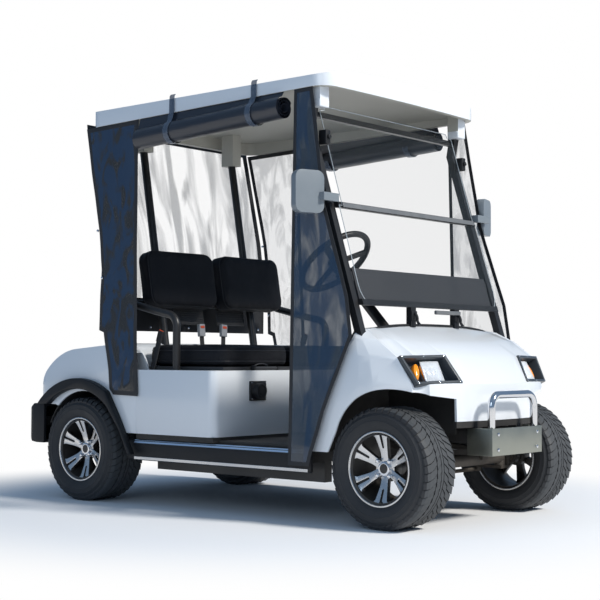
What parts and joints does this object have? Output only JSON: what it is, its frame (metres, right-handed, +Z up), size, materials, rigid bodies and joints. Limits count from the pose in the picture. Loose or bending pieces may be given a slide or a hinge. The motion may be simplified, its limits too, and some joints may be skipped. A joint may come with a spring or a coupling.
{
  "type": "golf cart",
  "caption": "Two-seat electric golf cart with white body, canopy, folding windshield and roll-up clear side curtains.",
  "frame": {"origin": "on the ground, under the middle of the overall length and width", "axes": "+X forward along the cart, +Y to its left, +Z up"},
  "size_m": [2.325, 1.3902, 1.8],
  "materials": {
    "white_shell": "gloss",
    "black_trim": "satin",
    "black_frame": "satin",
    "bright_steel": "satin",
    "alloy_rim": "satin",
    "tyre_rubber": "matte",
    "axle_iron": "matte",
    "seat_vinyl": "satin",
    "seat_board": "matte",
    "floor_rubber": "matte",
    "clear_screen": "gloss",
    "clear_curtain": "gloss",
    "curtain_roll": "satin",
    "lamp_glass": "gloss",
    "amber_lens": "gloss",
    "grey_shell": "satin",
    "battery_case": "matte"
  },
  "bodies": {
    "chassis": {"frame_rails": "black_frame", "frame_cross_members": "black_frame", "front_axle": "axle_iron", "leaf_springs": "axle_iron", "rear_axle": "axle_iron", "drive_motor": "axle_iron", "floor_pan": "black_trim", "floor_mat": "floor_rubber", "sills": "black_trim", "front_cowl": "white_shell", "headlight_bezels": "black_trim", "headlamp_lenses": "lamp_glass", "marker_lenses": "amber_lens", "wheel_liners": "black_trim", "rear_wheel_liners": "black_trim", "front_valance": "black_trim", "firewall": "black_trim", "pedals": "axle_iron", "dash": "black_trim", "front_struts": "black_frame", "windshield_bars": "black_frame", "windshield_feet": "black_trim", "windshield_lower": "clear_screen", "windshield_upper": "clear_screen", "mirrors": "grey_shell", "roof": "white_shell", "seat_pod": "white_shell", "battery_pack": "battery_case", "charging_port": "black_trim", "rear_body": "white_shell", "flares": "black_trim", "rear_bumper": "black_trim", "front_bumper": "bright_steel", "bumper_guard": "bright_steel", "seat_frame": "black_frame", "backrest_left": "seat_vinyl", "backrest_right": "seat_vinyl", "steering_column": "black_frame", "curtain_quarters": "clear_curtain", "curtain_fronts": "clear_curtain", "curtain_rolls": "curtain_roll", "curtain_rear": "clear_curtain"},
    "knuckle_left": {"knuckle_left": "axle_iron"},
    "knuckle_right": {"knuckle_right": "axle_iron"},
    "tie_rod": {"tie_rod": "axle_iron"},
    "wheel_front_left": {"tyre_front_left": "tyre_rubber", "rim_front_left": "alloy_rim"},
    "wheel_front_right": {"tyre_front_right": "tyre_rubber", "rim_front_right": "alloy_rim"},
    "wheel_rear_left": {"tyre_rear_left": "tyre_rubber", "rim_rear_left": "alloy_rim"},
    "wheel_rear_right": {"tyre_rear_right": "tyre_rubber", "rim_rear_right": "alloy_rim"},
    "steering_wheel": {"steering_wheel": "black_trim"},
    "seat_lid": {"seat_base": "seat_board", "seat_cushion_left": "seat_vinyl", "seat_cushion_right": "seat_vinyl"}
  },
  "joints": [
    {"name": "knuckle_left_steer", "type": "hinge", "parent": "chassis", "child": "knuckle_left", "pos_m": [0.8825, 0.318, 0.2295], "axis": [0, 0, 1], "range_deg": [-25, 25]},
    {"name": "knuckle_right_steer", "type": "hinge", "parent": "chassis", "child": "knuckle_right", "pos_m": [0.8825, -0.318, 0.2295], "axis": [0, 0, 1], "range_deg": [-25, 25]},
    {"name": "tie_rod_swing", "type": "hinge", "parent": "knuckle_left", "child": "tie_rod", "pos_m": [0.7725, 0.318, 0.1725], "axis": [0, 0, 1], "range_deg": [-25, 25]},
    {"name": "steering_wheel_turn", "type": "hinge", "parent": "chassis", "child": "steering_wheel", "pos_m": [0.4425, -0.25, 1.043], "axis": [-0.682, 0, 0.7314], "range_deg": [-300, 300]},
    {"name": "wheel_front_left_spin", "type": "hinge", "parent": "knuckle_left", "child": "wheel_front_left", "pos_m": [0.8825, 0.4455, 0.2295], "axis": [0, 1, 0], "continuous": true},
    {"name": "wheel_front_right_spin", "type": "hinge", "parent": "knuckle_right", "child": "wheel_front_right", "pos_m": [0.8825, -0.4455, 0.2295], "axis": [0, 1, 0], "continuous": true},
    {"name": "wheel_rear_left_spin", "type": "hinge", "parent": "chassis", "child": "wheel_rear_left", "pos_m": [-0.7575, 0.5005, 0.2295], "axis": [0, 1, 0], "continuous": true},
    {"name": "wheel_rear_right_spin", "type": "hinge", "parent": "chassis", "child": "wheel_rear_right", "pos_m": [-0.7575, -0.5005, 0.2295], "axis": [0, 1, 0], "continuous": true},
    {"name": "seat_lid_hinge", "type": "hinge", "parent": "chassis", "child": "seat_lid", "pos_m": [0.0395, 0, 0.599], "axis": [0, 1, 0], "range_deg": [0, 75]}
  ],
  "couplings": [
    {"joint": "knuckle_right_steer", "follows": "knuckle_left_steer", "ratio": 1},
    {"joint": "tie_rod_swing", "follows": "knuckle_left_steer", "ratio": -1},
    {"joint": "steering_wheel_turn", "follows": "knuckle_left_steer", "ratio": 12}
  ]
}
